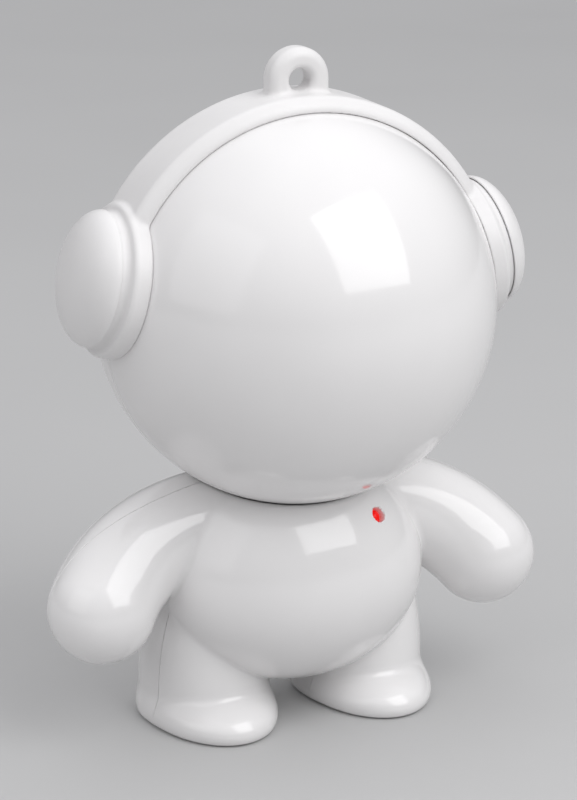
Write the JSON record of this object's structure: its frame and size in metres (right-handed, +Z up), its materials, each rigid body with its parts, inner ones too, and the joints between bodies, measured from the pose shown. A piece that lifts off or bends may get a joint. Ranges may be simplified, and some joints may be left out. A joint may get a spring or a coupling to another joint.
{
  "type": "desktop music figure",
  "caption": "Small standing figure with a large round head, headband with hanging eyelet, domed ear caps, curved arms and flat-soled feet, holding a speaker, cell and circuit board.",
  "frame": {"origin": "on the floor under the head's centre, midway between the two soles", "axes": "+Z up, the face and chest towards -Y, the figure's left hand towards +X"},
  "size_m": [0.0796, 0.0599, 0.1028],
  "materials": {
    "gloss_white": "polished white moulding",
    "satin_white": "satin white moulding with a very fine grain",
    "red_lens": "clear red lens",
    "board_green": "solder-masked fibreglass",
    "cell_foil": "dull foil",
    "steel": "plated",
    "black_plastic": "fine-grained moulding",
    "cone_paper": "pressed pulp",
    "black_rubber": "foamed"
  },
  "bodies": {
    "base": {"body_front_shell": "gloss_white", "body_rear_shell": "gloss_white", "chest_led": "red_lens", "main_board": "board_green", "amplifier_chip": "black_plastic", "battery_cell": "cell_foil", "charging_socket": "steel", "audio_jack": "black_plastic", "power_switch_case": "steel", "screw_torso_left": "steel", "screw_torso_right": "steel", "screw_foot_left": "steel", "screw_foot_right": "steel"},
    "head": {"head_front_shell": "gloss_white", "head_rear_shell": "gloss_white", "headband": "satin_white", "neck_tube": "black_plastic", "neck_clip": "steel", "speaker_basket": "steel", "speaker_can": "steel", "speaker_magnet": "cell_foil", "speaker_surround": "black_rubber", "speaker_cone": "cone_paper", "speaker_gasket": "black_rubber", "ear_holder_left": "black_plastic", "ear_board_left": "board_green", "ear_switch_left": "steel", "ear_holder_right": "black_plastic", "ear_board_right": "board_green", "ear_switch_right": "steel"},
    "ear_left": {"ear_cap_left": "satin_white", "ear_clip_left": "steel", "ear_plunger_left": "black_plastic"},
    "ear_right": {"ear_cap_right": "satin_white", "ear_clip_right": "steel", "ear_plunger_right": "black_plastic"},
    "switch_knob": {"power_switch_knob": "black_plastic"}
  },
  "joints": [
    {"name": "head_turn", "type": "hinge", "parent": "base", "child": "head", "pos_m": [0, 0, 0.0646], "axis": [0, 0, 1], "range_deg": [-45, 45]},
    {"name": "ear_left_press", "type": "slide", "parent": "head", "child": "ear_left", "axis": [-0.9781, 0, -0.2079], "range_m": [0, 0.0005], "stiffness_N_per_m": 800},
    {"name": "ear_right_press", "type": "slide", "parent": "head", "child": "ear_right", "axis": [0.9781, 0, -0.2079], "range_m": [0, 0.0005], "stiffness_N_per_m": 800},
    {"name": "power_switch_slide", "type": "slide", "parent": "base", "child": "switch_knob", "axis": [1, 0, 0], "range_m": [0, 0.002]}
  ]
}
